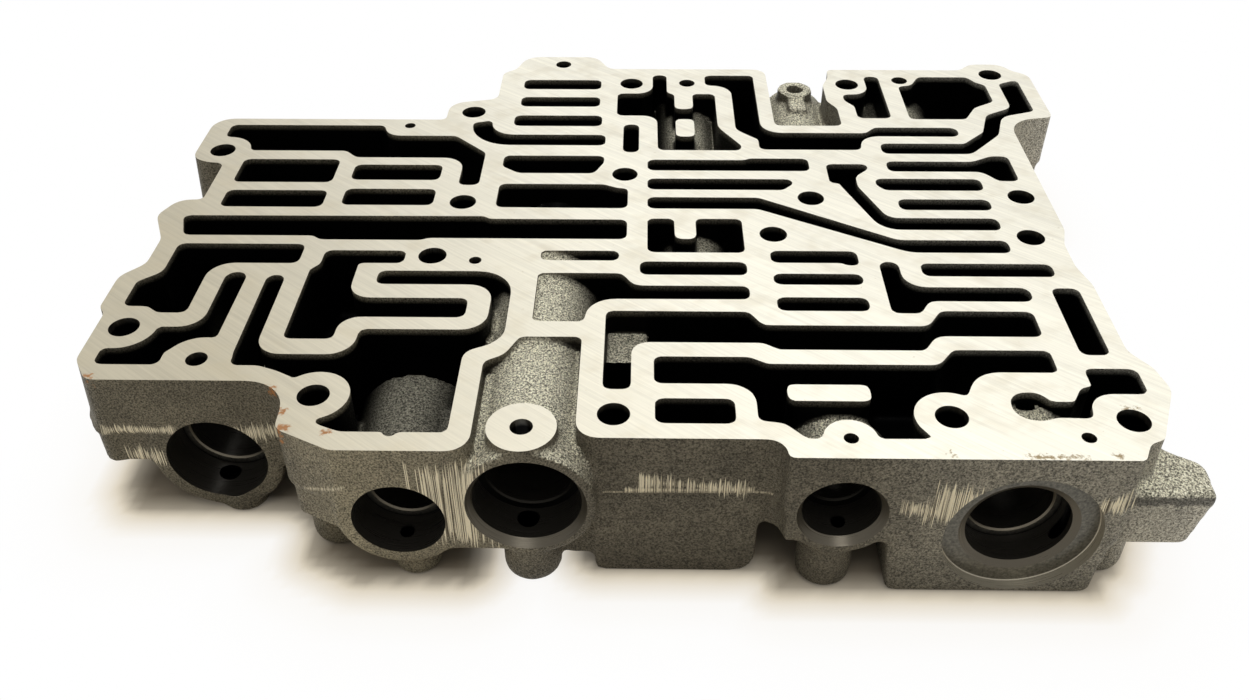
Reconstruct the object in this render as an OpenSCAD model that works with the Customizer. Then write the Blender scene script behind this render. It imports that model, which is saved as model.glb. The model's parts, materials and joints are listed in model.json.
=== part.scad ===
// Valve body of an automatic gearbox: one bare iron casting with a machined face of oil channels.
// Millimetres. Z = 0 is the level of the feet and the machined face is the top.
// X runs along the body, Y from the plugged front to the back.
// Places on the face are measured from the axis of the datum bolt hole in the middle front block.

/* [Casting] */
// Left edge of the machined face
left_x = -125; // [-128:0.5:-124]
// Right edge of the ear at the back
ear_x = 131; // [128:0.5:134]
// Right flank between the ear and the lug
flank_x = 117; // [116.5:0.5:120]
// Height of the machined face above the feet
deck_h = 42; // [40:0.5:46]
// Depth of the parting line below the machined face
part_depth = 16; // [14:0.5:18]
// Depth of the cast channels below the machined face
channel_depth = 21; // [18:0.5:22]
// Thickness of the floor under the channels
floor_t = 5; // [4:0.5:7]
// Set-back of the lower mould half at the parting line
part_step = 0.8; // [0.2:0.1:1.5]
// Corner radius of the cast slots
slot_r = 1.5; // [0.8:0.1:2]

/* [Holes] */
// Clearance hole for the quarter inch bolts
bolt_d = 7.2; // [6:0.1:8]
// Hole for the plug retaining pins
pin_d = 5; // [4:0.1:6]
// Hole for the small locating pins
dowel_d = 3.2; // [2.5:0.1:4]
// Radius of the land round a bolt hole beside a channel
boss_r = 8; // [7:0.1:8.4]
// Radius of the land round a small hole beside a channel
land_r = 5.8; // [5:0.1:6.5]

/* [Front bores] */
// Plug bore of the left barrel
bore1_d = 23.6; // [20:0.2:25]
// Plug bore of the second barrel
bore2_d = 20.6; // [18:0.2:22]
// Plug bore of the open barrel in the recess
bore3_d = 24; // [20:0.2:24.4]
// Plug bore of the fourth barrel
bore4_d = 17.2; // [14:0.2:19]
// Plug bore in the right block
bore5_d = 23.2; // [20:0.2:25]
// Depth of the left bore's axis below the machined face
bore1_depth = 24.5; // [23:0.5:25]
// Depth of the second bore's axis
bore2_depth = 21; // [20:0.5:23]
// Depth of the open barrel's axis
bore3_depth = 16.4; // [16:0.1:18]
// Depth of the fourth bore's axis
bore4_depth = 17; // [16:0.5:19]
// Depth of the right bore's axis
bore5_depth = 23.3; // [22:0.1:23.5]
// Length of the plug bores before the shoulder
plug_len = 11; // [9:0.5:13]
// Step in diameter from a plug bore to the valve bore behind it
plug_step = 4; // [3:0.5:6]
// Wall of the barrels round the plug bores
barrel_wall = 3.8; // [3:0.1:4.4]
// Wall of the open barrel in the recess
rim_wall = 3.3; // [2:0.1:3.6]
// Lead-in chamfer of the open and the fourth bore
lead_in = 1.3; // [0.5:0.1:2]
// Length of that chamfer
lead_len = 2; // [1:0.1:3]
// Diameter of the machined seat round the right bore
seat_d = 34.6; // [32:0.2:36]
// Depth of that seat
seat_depth = 2.75; // [1:0.25:4]
// Wall of the boss over that seat
seat_wall = 2.8; // [1.5:0.1:3]
// Lead-in chamfer from that seat into the bore
seat_lead = 1.6; // [0.5:0.1:2]

/* [Back bores] */
// Bore at the back of the tab
back3_d = 18; // [14:0.5:20]
// Bore behind the middle back pocket
back4_d = 13; // [10:0.5:14]
// Bore of the barrel in the open back notch
back5_d = 15; // [12:0.5:16]
// Bore at the right of the back
back6_d = 19; // [16:0.5:20]
// Bore at the left of the back
back2_d = 13; // [10:0.5:15]
// Depth of the back bores' axes below the machined face
back_depth = 17; // [16:0.5:18]
// Wall of the barrels round the back bores
back_wall = 3.8; // [3:0.1:4.4]

/* [Feet and lug] */
// Radius of the round feet under the retaining pins
foot_r = 5.8; // [5:0.1:6.2]
// Right end of the lug
lug_x = 128.5; // [124:0.5:131]
// How far the lug's end leans in at its bottom
lug_lean = 3; // [1:0.5:5]
// Depth of the lug's top below the machined face
lug_depth = 11.5; // [10:0.5:13]
// Height of the lug
lug_h = 14.8; // [12:0.2:18]

/* [Hidden] */
$fn = 64;
cast_grey = [0.46, 0.44, 0.41];
// Shift that puts the middle of the casting on X = 0
datum_x = -(left_x + ear_x) / 2;
part_z = deck_h - part_depth;
chan_z = deck_h - channel_depth;
belly_z = chan_z - floor_t;
// Axes of the valve columns across the body
col1 = -95.5;
col2 = -64;
col3 = -19.5;
col4 = 19.8;
col5 = 49.7;
back5 = 55;
col6 = 88;
// Axes of the front bores
front1 = -94;
front2 = -47;
front3 = -18.8;
front4 = 49.4;
front5 = 89.1;
// Front and back faces of the casting
front1_y = -73;
front2_y = -95;
mid_y = -90.5;
right_y = -96;
back_y = 87;
tab_y = 96;
left_back_y = 51;
lug_y = -95;
// Inner ends of the valve bores
bore1_end = 44;
bore2_end = -60;
bore3_end = 30;
bore4_end = -16;
bore5_end = 36;
back2_end = -24;
back4_end = -2;
back5_end = 22;
// Lower ends of the pin holes and of the dowel holes
pin_z = 4;
dowel_z = 6;
// Outer radii of the barrels
bar1_r = bore1_d / 2 + barrel_wall;
bar2_r = bore2_d / 2 + barrel_wall;
bar3_r = bore3_d / 2 + rim_wall;
bar4_r = bore4_d / 2 + barrel_wall;
bar5_r = bore5_d / 2 + barrel_wall;
// Axes of the left and the right back bore lie lower than the others
back2_depth = back_depth + 3;
back6_depth = back_depth + 4;
// Radius of the pin boss in the back notch
notch_r = 5.5;

bolts = [
    [-66, -77.7], [-116.3, -53.8], [-117.4, 31.3], [-46.5, 56], [-43.3, 3.2], [-47.8, -23],
    [0, -83], [2, 76.2], [0.8, 18.6], [71.1, 76.2], [52, 6.2], [40.2, -12], [109.7, 7.5],
    [107.2, -12.8], [72.4, -83], [110.9, -83.7], [118.6, 83.7]];
pins = [[col1, -65.5], [col3, -87.3], [col3 - 1.2, 90.2], [col4, 76.7], [back5, 79.5], [col6 + 0.4, 79.2]];
dowels = [[50, -90], [99.8, -89.2], [-36.6, -25], [-64.8, 47], [front2, -89]];
boss_lands = [0, 1, 2, 14, 15];

function xy(p) = [p[0], p[1]];
function unit(v) = v / norm(v);
// Points of an arc of radius r that rounds the corner p between its neighbours a and b
function corner(a, p, b, r) =
    let (u = unit(a - p), v = unit(b - p), half = acos(u * v) / 2)
    let (c = p + unit(u + v) * r / sin(half), s = p + u * r / tan(half) - c)
    let (turn = 180 - 2 * half, way = cross(p - a, b - p) > 0 ? 1 : -1)
    let (n = max(1, ceil(turn / (r > 3 ? 15 : 30))), a0 = atan2(s[1], s[0]))
    [for (i = [0 : n]) c + r * [cos(a0 + way * turn * i / n), sin(a0 + way * turn * i / n)]];
function rounded(pts, r) =
    let (n = len(pts))
    [for (i = [0 : n - 1])
        let (a = xy(pts[(i + n - 1) % n]), p = xy(pts[i]), b = xy(pts[(i + 1) % n]))
        let (q = len(pts[i]) > 2 ? pts[i][2] : r)
        each (q > 0 ? corner(a, p, b, q) : [p])];
// Closed outline from corner points, each with its own radius or the usual one
module shape(pts, r = slot_r) polygon(rounded(pts, r));
// Slot across a valve column: middle, half width, front and back edge
module slot(x, half, y0, y1) shape([[x - half, y0], [x + half, y0], [x + half, y1], [x - half, y1]]);

// Outline of the machined face
module outline() shape([
    [left_x + 2, -66, 5], [left_x + 6.5, front1_y, 3], [-72.5, front1_y, 10], [-72, -88.5, 3],
    [-59, front2_y, 4], [-30, front2_y, 5], [-30, -65.5, 0.6], [-25.5, -63, 5], [-22.5, -56.2, 1],
    [-8, -56.2, 1.2], [-8, mid_y, 5], [36.3, mid_y, 4], [36.5, right_y, 1], [109.5, right_y, 0.6],
    [112, -91, 2], [115.5, -89.5, 1.5], [122.5, -73.5, 6], [121, -66, 4], [flank_x, -60, 5],
    [flank_x, -34, 5], [flank_x - 2, -26, 6], [flank_x - 2, -16, 5], [flank_x, -9, 5], [flank_x, 52, 9],
    [ear_x, 54.5, 2], [ear_x, 84, 5], [ear_x - 4.5, 86.5, 3], [ear_x - 7.5, 91.5, 5],
    [ear_x - 17.5, 91.5, 5], [ear_x - 21.5, back_y, 3], [66, back_y, 1.5],
    [65.5, 81, 2], [63.3, 75.5, 4], [63.3, 64.5, 4], [66, 59.5, 3], [66, 48.2, 1.5], [45.7, 48.2, 1.5],
    [45.5, back_y, 4], [-5.5, back_y, 3], [-10, tab_y, 5], [-33, tab_y, 6], [-36, 86.5, 3],
    [-40, 83.5, 3], [-40, 65, 3], [-54.5, 62, 6], [-54.5, left_back_y, 1], [left_x, left_back_y, 6],
    [left_x, 26.5, 5], [left_x + 5.5, 24.2, 3], [left_x + 10, 23.8, 2], [left_x + 10, 3.8, 1],
    [left_x + 3.5, 3.4, 5], [left_x, -4.5, 5], [left_x + 5, -16, 3], [left_x + 5, -27.5, 4],
    [left_x, -33, 5], [left_x, -46, 2], [left_x + 2, -48.5, 1.5]]);

// Channels and ports of the left third
module channels_left() {
    shape([[-119, 47], [-72.5, 47, 1], [-70.5, 40.7, 5], [-50, 40.7], [-40, 30.5, 2], [-40, 12.2],
        [-45.8, 12.2], [-45.8, 27.5, 6], [-77.5, 27.5], [-81, 31.3, 2], [-119, 31.3, 0]]);
    slot(col1, 14, 13.3, 26.2);
    slot(col1, 14, 0.2, 8.9);
    slot(col2, 12.6, 14.8, 23.3);
    slot(col2, 12.6, 1.4, 9.9);
    shape([[-117.8, -4.4, 1], [-36.5, -4, 0.5], [-35, -5.3, 0.5], [1.8, -5.3], [1.8, -14.8],
        [-50, -14.8, 1], [-52, -15.8, 1], [-78.5, -15.8, 1], [-80.5, -14], [-114.8, -14]]);
    shape([[-114.6, -18], [-81.4, -18], [-81.4, -26.8], [-103.4, -26.8, 6], [-103.4, -48, 1.2],
        [-110.5, -48, 1], [-113.5, -45.5, 3], [-119.7, -45.5], [-119.7, -35.3, 1], [-114.6, -31, 4]]);
    shape([[-98.3, -30.8, 2.5], [-92.9, -30.8, 2.5], [-93.2, -57.3, 1], [-96, -60, 0], [-103.7, -63, 0],
        [-103.7, -67.6, 1], [-118.7, -67.6], [-118.7, -60.5, 1], [-112, -60.3, 0], [-108, -53.5, 1],
        [-98.3, -53.5, 5.5]]);
    shape([[-87.8, -32, 2], [-83.2, -32, 2], [-83.2, -63.4, 6], [-60.5, -63.4, 6], [-60.5, -53.8, 1.2],
        [-30.8, -53.8, 6], [-30.8, -35.6, 6], [-60.2, -35.6], [-60.2, -29.8], [-26.2, -29.8, 9],
        [-26.2, -56, 6], [-29.5, -59.5, 3], [-35, -62, 4], [-35, -89.3, 1.2], [-58, -89.3, 4],
        [-65, -86.3, 0], [-66, -80, 0], [-72.6, -71.4, 0.4], [-76.5, -69.3, 4], [-81, -67.6, 4],
        [-87.8, -67.6, 1]]);
    shape([[-75.7, -20.8], [-54.7, -20.8], [-54.7, -26.5], [-66, -26.5, 0.8], [-66, -41.3, 5.5],
        [-36.3, -41.3], [-36.3, -49.1], [-66, -49.1, 5], [-66, -57.7, 1], [-77.8, -57.7, 1.2],
        [-77.8, -29.5, 1], [-75.7, -27, 2]]);
}

// Channels and ports of the middle third
module channels_middle() {
    slot(col3 - 0.6, 12.4, 72, 78.6);
    slot(col3 - 0.6, 12.4, 60, 66.4);
    slot(col3 - 0.6, 13.4, 47.2, 54);
    shape([[-45.8, 49, 1], [-40, 50.6, 1], [-39.6, 41.7, 7], [-5.3, 41.7], [-5.3, 35.3], [-45.3, 35.3, 12]]);
    shape([[-34.4, 29], [-5.2, 29], [-5.4, 25, 1], [-8, 19, 1], [-29.5, 19], [-34.4, 22.7, 1]]);
    shape([[-34.2, 13], [-5, 13], [-1, 11], [1.8, 11, 1], [1.8, 0.4], [-34.2, 0.6]]);
    slot(col3 + 9.4, 10.1, -24.7, -20.3);
    shape([[-20.3, -30.3, 1], [0.8, -30.3], [4, -35.5, 3], [32.3, -35.5], [32.3, -41], [-7, -41.2, 7],
        [-7.8, -50.3, 1.2], [-20.3, -50.3, 1]]);
    slot(2.3, 2.35, 31.3, 48.4);
    shape([[7.2, 27], [35, 27, 1], [36.5, 28, 1], [53.4, 28], [53.4, 20.9], [7.2, 20.9]]);
    shape([[7.2, 16.3], [47.8, 16.3], [47.8, 13.6, 1], [44.8, 10.4, 0.8], [7.2, 10.4]]);
    shape([[7.2, 6.3], [37.6, 6.3, 2], [72.5, -14.4, 6], [100.6, -14.4], [100.6, -20.2], [74.5, -20.2, 8],
        [37, 0.4], [7.2, 0.4]]);
    shape([[7.2, -4.7, 1.2], [14.3, -4.7, 0.8], [14.4, -14.5, 1.8], [20, -14.5, 1.8], [20, -4.7, 0.8],
        [32.3, -4.7, 1.2], [32.3, -20.8, 1.2], [7.2, -20.8]]);
    slot(18.8, 13.5, -30.8, -25);
    shape([[38.6, -19.8], [60.8, -19.8], [60.8, -26.2, 1], [57.4, -26.2, 0.8], [56.4, -25.2, 0.5], [38.6, -25.2]]);
    slot(col5, 11.1, -34.7, -30);
    slot(col5, 11.1, -45.5, -40);
    shape([[8.8, 82.4], [13.3, 82.4], [13.3, 70, 0.8], [15.6, 68.5, 1], [15.6, 58.7, 1.8],
        [21.3, 58.7, 1.8], [21.3, 69, 0.8], [28.4, 69], [28.4, 47, 8], [34.9, 35.5, 1], [34.3, 32.7, 0.8],
        [10.2, 32.7, 1], [10.1, 54.2, 4.5], [-2.3, 54.2], [-2.3, 69.2], [8.8, 69.2, 5]]);
}

// Channels and ports of the right third
module channels_right() {
    shape([[25.6, 82.3], [41.3, 82.3, 1], [41.3, 43.6, 6], [72.5, 43.6, 2], [75.5, 47.2, 2],
        [100.2, 47.2, 2], [100.2, 41.7, 2], [70.5, 41.7, 6], [69.8, 33.3], [40, 33.3], [40, 39.3, 1],
        [33.7, 45.5, 4], [33.7, 75, 6], [25.6, 75, 1.2]]);
    shape([[75.6, 37.3], [100.5, 37.3], [107.6, 44.5], [111, 55.5, 4], [119.8, 60.5, 4], [119.8, 77, 1],
        [126.4, 80.2, 1.2], [126.4, 58.3, 1.2], [115.5, 54.5, 6], [112, 43, 3], [101.5, 31.2, 4], [75.6, 31.2]]);
    shape([[75.6, 26.7], [100.5, 26.7, 4], [106.5, 30, 2], [111.4, 30], [111.4, 15.9], [105.7, 15.9, 1],
        [102, 21, 4], [75.6, 21]]);
    shape([[71, 16.9], [100.5, 16.9], [100.5, 10.6], [73, 10.6], [71, 13.5, 1]]);
    slot(col6, 12.5, 0.4, 5.9);
    shape([[58.2, 25], [70.2, 25, 1.2], [69.8, 22, 1], [65.8, 18, 4], [65.8, 12.5, 4], [71.6, -3.7, 4],
        [100.6, -3.7], [100.6, -9.5], [69.2, -9.5, 7], [61.2, 12.5], [60.8, 14.3, 0.8], [58.2, 14.3, 1.2]]);
    slot(92.5, 16.5, -30.7, -25.1);
    shape([[65.7, -24.5, 2], [70.6, -24.5, 2], [70.6, -35.4, 5.5], [100.8, -35.4, 2], [100.8, -41.2, 2],
        [75.5, -41.2, 3], [72.7, -46.2], [65.7, -46.2]]);
    slot(109.5, 3.4, -61.6, -35.5);
    shape([[105.2, -66.4, 1], [117, -66.4], [117, -75.1], [103.6, -75.1, 6], [102.8, -83.2, 1], [95, -83, 1],
        [91.5, -84.2, 3], [86, -83.2, 4], [86, -74.8, 4], [93, -74.8, 2.5], [95, -77.8], [100, -77.8, 1],
        [102.6, -73.2], [105.2, -72.6, 0.8]]);
    shape([[-2.7, -46, 1.2], [31.5, -46], [34.5, -51.2, 2.5], [73.5, -51.2, 3], [77.3, -45.2],
        [99.3, -45.2], [99.3, -55], [74.5, -55, 4], [71, -60.4, 1], [37.5, -60.4, 1], [34, -58, 2.5],
        [3.6, -58, 4], [3.6, -74.8, 1.2], [-2.7, -74.8, 1.2]]);
    difference() {
        shape([[8.7, -63.2, 1.2], [30.5, -63.2], [34.5, -65.6, 2], [73.2, -65.6, 3], [77.3, -60.1],
            [99.3, -60.1, 1.2], [99.3, -68, 1], [81, -68, 8], [77.2, -76.3, 0.8], [72, -77, 0],
            [66, -84.5, 0], [67.2, -90, 0.8], [40.8, -90.2, 1.5], [36.5, -85.5, 3], [31, -84.7, 1],
            [31, -72.7, 6], [8.7, -72.7, 1.2]]);
        slot(47.1, 9.1, -78.2, -72.7);
    }
    slot(17.6, 8.7, -85.8, -77.7);
    shape([[77.1, 82], [81.8, 82], [81.8, 53.2], [71.5, 53.2], [71.5, 61, 2], [68.8, 65, 2], [68.8, 69.2, 1],
        [77.1, 69.2, 5]]);
    shape([[87.3, 75.2, 1], [91.5, 75.5, 3], [94.8, 81.8, 1], [110.5, 81.8, 0.8], [112.5, 78.3, 1],
        [115.3, 76, 0.8], [115.3, 64.6, 0.8], [108.5, 60.3, 4], [104.3, 52.7, 1], [87.3, 52.7, 1]]);
}

// Everything that is open at the machined face, less the lands round the holes and the back island
module openings() difference() {
    union() {
        channels_left();
        channels_middle();
        channels_right();
    }
    for (i = boss_lands) translate(bolts[i]) circle(r = boss_r);
    translate(pins[0]) circle(r = boss_r);
    translate(dowels[0]) circle(r = land_r);
    slot(18.5, 2.8, 41, 52);
}

// Barrel or bore along Y between two faces
module along(x, depth, r, y0, y1)
    translate([x, y0, deck_h - depth]) rotate([-90, 0, 0]) cylinder(r = r, h = y1 - y0);

// Upper part with the channels, stepped in below the parting line, and the floor under it
module body() {
    translate([0, 0, part_z]) linear_extrude(part_depth) difference() {
        outline();
        openings();
    }
    translate([0, 0, chan_z]) linear_extrude(part_z - chan_z + 0.01) difference() {
        offset(delta = -part_step) outline();
        openings();
    }
    translate([0, 0, belly_z]) linear_extrude(floor_t + 0.01) offset(delta = -part_step) outline();
}

// Barrels that show inside the open pockets and in the recess
module crowns() {
    along(front2, bore2_depth, bar2_r, front2_y, -62);
    along(front3, bore3_depth, bar3_r, front2_y, -18);
    along(front4, bore4_depth, bar4_r, right_y, -78);
    along(front5, bore5_depth, bar5_r, -90, -72);
    along(front5, bore5_depth - seat_wall / 2, (seat_d + seat_wall) / 2, right_y, -76.5);
    along(col4, back_depth, back4_d / 2 + back_wall, -23, -3);
    along(col4, back_depth, back4_d / 2 + back_wall, 30, back_y);
    along(back5, back_depth, back5_d / 2 + back_wall, 46, back_y - 2);
    along(col6, back6_depth, back6_d / 2 + back_wall, 50, back_y);
    // Boss of the open barrel, boss and rib in the back notch
    translate(concat(pins[1], part_z)) cylinder(r = boss_r - 0.4, h = part_depth);
    translate(concat(pins[4], part_z)) cylinder(r = notch_r, h = part_depth - 3);
    translate([back5 - notch_r / 2, 67, part_z]) cube([notch_r, 12, part_depth - 4]);
    // Floor of the back notch and raised floor in the corner of the long front channel
    translate([45, 46, belly_z + 1]) cube([21.5, 37, 9]);
    translate([-3.5, -57, belly_z + 1]) cube([11, 12, deck_h - 7 - belly_z - 1]);
}

// Half-round undersides of the barrels, kept below the channels
module bellies() intersection() {
    union() {
        along(front1, bore1_depth, bar1_r, front1_y, 46);
        along(col2, back2_depth, back2_d / 2 + back_wall, -28, left_back_y);
        along(front3, bore3_depth, bar3_r, -20, tab_y);
        along(col4, back_depth, back4_d / 2 + back_wall + 1.7, -50, back_y);
        along(front4, bore4_depth, bar4_r, -90, -18);
        along(front5, bore5_depth, bar5_r, -90, bore5_end);
        along(col6, back6_depth, back6_d / 2 + back_wall + 2, bore5_end - 1, back_y);
    }
    translate([left_x, right_y, -1]) cube([ear_x - left_x, tab_y - right_y, chan_z + 1.2]);
}

// Left barrel's full front end, the webs and the blocks below the parting line
module front_blocks() {
    along(front1, bore1_depth, bar1_r, front1_y, -59);
    translate([-42, front2_y, 11.5]) cube([20, 24, 21]);
    translate([-14, mid_y + 1, 5]) cube([12, 10, part_z - 6]);
    translate([0, -58, 0]) rotate([90, 0, 0]) linear_extrude(-58 - mid_y)
        shape([[-4.5, 0, 2], [32, 0, 5], [32.5, part_z - 2, 2], [-4.5, part_z - 2, 2]]);
    translate([0, -64, 0]) rotate([90, 0, 0]) linear_extrude(-64 - right_y)
        shape([[61.7, 0, 2], [107.5, 0, 2], [110, part_z, 2], [59, part_z, 2]]);
    lug();
}

// Lug at the right end: its plan, cut by a front view whose end leans in below a proud lip
module lug() translate([0, 0, deck_h - lug_depth - lug_h]) intersection() {
    linear_extrude(lug_h)
        shape([[104, lug_y, 0], [lug_x, lug_y, 1.5], [lug_x + 0.6, -84.5, 3], [122, -80, 4],
            [115, -70, 0], [104, -70, 0]]);
    translate([0, -60, 0]) rotate([90, 0, 0]) linear_extrude(-60 - lug_y)
        shape([[100, 0, 0], [lug_x - lug_lean, 0, 1.5], [lug_x - 0.6, lug_h - 3.2, 0.3],
            [lug_x + 0.6, lug_h - 2.8, 0.3], [lug_x + 0.6, lug_h, 0.8], [100, lug_h, 0]]);
}

// Foot with a rounded end, standing on Z = 0
module foot(x, y, r, h)
    translate([x, y, 0]) rotate_extrude()
        polygon(concat([[0, 0]], rounded([[0, 0, 0], [r, 0, r * 0.35], [r, h, 0], [0, h, 0]], 0)));

module feet() {
    foot(front1 + 2.6, front1_y + foot_r - 1, foot_r, 12);
    foot(front2 + 1.2, front2_y + foot_r + 1.8, foot_r, 16);
    foot(front3, front2_y + foot_r + 1, foot_r + 0.9, 20);
    foot(front4 - 1.4, right_y + foot_r + 0.9, foot_r + 0.5, 20);
    for (i = [0, 15])
        foot(bolts[i][0] + 0.5, bolts[i][1], foot_r + 1, belly_z + 2);
    for (i = [1 : 16])
        translate([bolts[i][0], bolts[i][1], belly_z - 4]) cylinder(r = foot_r + 0.6, h = 6);
    for (i = [2 : 5])
        foot(pins[i][0], pins[i][1] - 2, foot_r, 20);
}

// Stepped bore from a face: plug part, shoulder and valve part; way is 1 from the front, -1 from the back
module bore(x, depth, d, y, y_end, way) {
    y1 = y + way * plug_len;
    along(x, depth, d / 2, min(y - way, y1), max(y - way, y1));
    along(x, depth, (d - plug_step) / 2, min(y, y_end), max(y, y_end));
}

// Chamfer that leads into a bore of diameter d from the plane y
module lead(x, depth, d, y, rise, length)
    translate([x, y - 0.01, deck_h - depth]) rotate([-90, 0, 0])
        cylinder(r1 = d / 2 + rise, r2 = d / 2, h = length);

module bores() {
    bore(front1, bore1_depth, bore1_d, front1_y, bore1_end, 1);
    bore(front2, bore2_depth, bore2_d, front2_y, bore2_end, 1);
    bore(front3, bore3_depth, bore3_d, front2_y, bore3_end, 1);
    lead(front3, bore3_depth, bore3_d, front2_y, lead_in, lead_len);
    bore(front4, bore4_depth, bore4_d, right_y, bore4_end, 1);
    lead(front4, bore4_depth, bore4_d, right_y, lead_in, lead_len);
    bore(front5, bore5_depth, bore5_d, right_y, bore5_end, 1);
    along(front5, bore5_depth, seat_d / 2, right_y - 1, right_y + seat_depth);
    lead(front5, bore5_depth, bore5_d, right_y + seat_depth, seat_lead, lead_len / 2);
    bore(col2, back2_depth, back2_d, left_back_y, back2_end, -1);
    bore(col3, bore3_depth, back3_d, tab_y, bore3_end - 2, -1);
    bore(col4, back_depth, back4_d, back_y, back4_end, -1);
    bore(back5, back_depth, back5_d, back_y - 2, back5_end, -1);
    bore(col6, back6_depth, back6_d, back_y, bore5_end - 2, -1);
}

module holes() {
    for (p = bolts) translate([p[0], p[1], -1]) cylinder(d = bolt_d, h = deck_h + 2);
    for (p = pins) translate([p[0], p[1], pin_z]) cylinder(d = pin_d, h = deck_h);
    for (p = dowels) translate([p[0], p[1], dowel_z]) cylinder(d = dowel_d, h = deck_h);
}

module valve_body_casting() color(cast_grey) translate([datum_x, 0, 0]) difference() {
    union() {
        body();
        crowns();
        bellies();
        front_blocks();
        feet();
    }
    bores();
    holes();
}

valve_body_casting();
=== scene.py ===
# %% [markdown]
# Valve body of an automatic gearbox, dressed from its CAD solid.
# The real part is an iron casting: a sand mould gives every wall a rough skin and soft corners, and
# then a mill and boring bars cut the few places that have to seal. The lesson follows that order:
# it eases the CAD solid into a raw casting, machines it, and gives each kind of surface its finish.

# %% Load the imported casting
import json
import math
import time

import bmesh
import bpy
import numpy as np
from mathutils import Euler, Matrix, Vector


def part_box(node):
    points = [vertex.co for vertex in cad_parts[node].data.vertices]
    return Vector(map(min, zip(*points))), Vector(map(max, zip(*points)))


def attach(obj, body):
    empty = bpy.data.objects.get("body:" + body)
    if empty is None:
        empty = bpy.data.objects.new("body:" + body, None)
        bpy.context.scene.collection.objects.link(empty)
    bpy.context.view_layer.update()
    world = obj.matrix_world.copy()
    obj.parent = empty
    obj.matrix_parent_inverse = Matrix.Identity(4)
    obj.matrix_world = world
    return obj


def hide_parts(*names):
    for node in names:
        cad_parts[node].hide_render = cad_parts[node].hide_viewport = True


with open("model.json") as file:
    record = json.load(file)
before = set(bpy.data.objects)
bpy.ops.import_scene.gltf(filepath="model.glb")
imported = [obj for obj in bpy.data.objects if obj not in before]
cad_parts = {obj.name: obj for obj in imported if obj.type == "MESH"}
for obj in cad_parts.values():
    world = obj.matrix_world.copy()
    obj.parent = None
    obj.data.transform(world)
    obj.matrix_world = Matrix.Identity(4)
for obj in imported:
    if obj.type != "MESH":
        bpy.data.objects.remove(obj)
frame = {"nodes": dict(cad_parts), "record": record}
began = time.time()
MM = 0.001
NODE = "valve_body_casting"
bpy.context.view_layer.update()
low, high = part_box(NODE)
deck = high.z
print("casting", [round(v / MM, 1) for v in high - low], "mm")

# %% [markdown]
# The camera comes first, because every later choice is judged through it. The place and the angles
# were solved from the straight edges and the bolt holes of the face, so the render can be laid over
# the photograph. Blender's camera looks down its own -Z: a turn of 90 degrees about X makes it level,
# and the pitch is taken off that.

# %% Camera
VIEW_PLACE = (3, -268, 208)
VIEW_PITCH = 38.724
VIEW_YAW = 1.109
VIEW_ROLL = -0.249
LENS = 33.306
FILM_WIDTH = 36


def mm(*values):
    """Millimetres to a vector in metres."""
    return tuple(v * MM for v in values)


camera = bpy.data.objects.new("camera", bpy.data.cameras.new("camera"))
turn = Euler((math.radians(90 - VIEW_PITCH), 0, math.radians(VIEW_YAW))).to_matrix()
turn = turn @ Matrix.Rotation(math.radians(VIEW_ROLL), 3, "Z")
camera.matrix_world = Matrix.Translation(mm(*VIEW_PLACE)) @ turn.to_4x4()
camera.data.lens = LENS
camera.data.sensor_width = FILM_WIDTH
camera.data.clip_start = 10 * MM
bpy.context.scene.collection.objects.link(camera)
bpy.context.scene.camera = camera
print("camera looks down by", VIEW_PITCH, "degrees through a lens of", LENS, "mm")

# %% [markdown]
# A CAD mesh is loose triangles, so a copy of it is welded first: neighbours then share their corners.
# Points could be read one by one, but a mesh hands over all of them at once as an array, which is
# quicker and lets numpy work on the whole casting in one line.

# %% Weld a copy
WELD = 0.002 * MM


def points_of(mesh):
    """Places of all vertices as rows of an array."""
    co = np.empty(len(mesh.vertices) * 3, np.float32)
    mesh.vertices.foreach_get("co", co)
    return co.reshape(-1, 3).astype(float)


def welded_copy(obj, name):
    """Copy of a mesh with the doubled corners of its loose triangles joined."""
    work = bmesh.new()
    work.from_mesh(obj.data)
    bmesh.ops.remove_doubles(work, verts=work.verts, dist=WELD)
    mesh = bpy.data.meshes.new(name)
    work.to_mesh(mesh)
    work.free()
    return mesh


solid = welded_copy(frame["nodes"][NODE], "welded_solid")
flat_points = points_of(solid)
print("welded to", len(flat_points), "points")

# %% [markdown]
# Every bolt, pin and dowel hole is already in the solid, so none is typed again here. The edges that
# only one triangle of the flat face has are its rims, and a rim whose points all lie at one distance
# from its middle is a drilled hole.

# %% Find the drilled holes
LEVEL = 0.01 * MM
ROUND = 0.05 * MM
WIDEST_HOLE = 5 * MM


def triangles_of(mesh):
    """Corner numbers of all triangles as rows of an array."""
    mesh.calc_loop_triangles()
    corners = np.empty(len(mesh.loop_triangles) * 3, np.int32)
    mesh.loop_triangles.foreach_get("vertices", corners)
    return corners.reshape(-1, 3)


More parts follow.
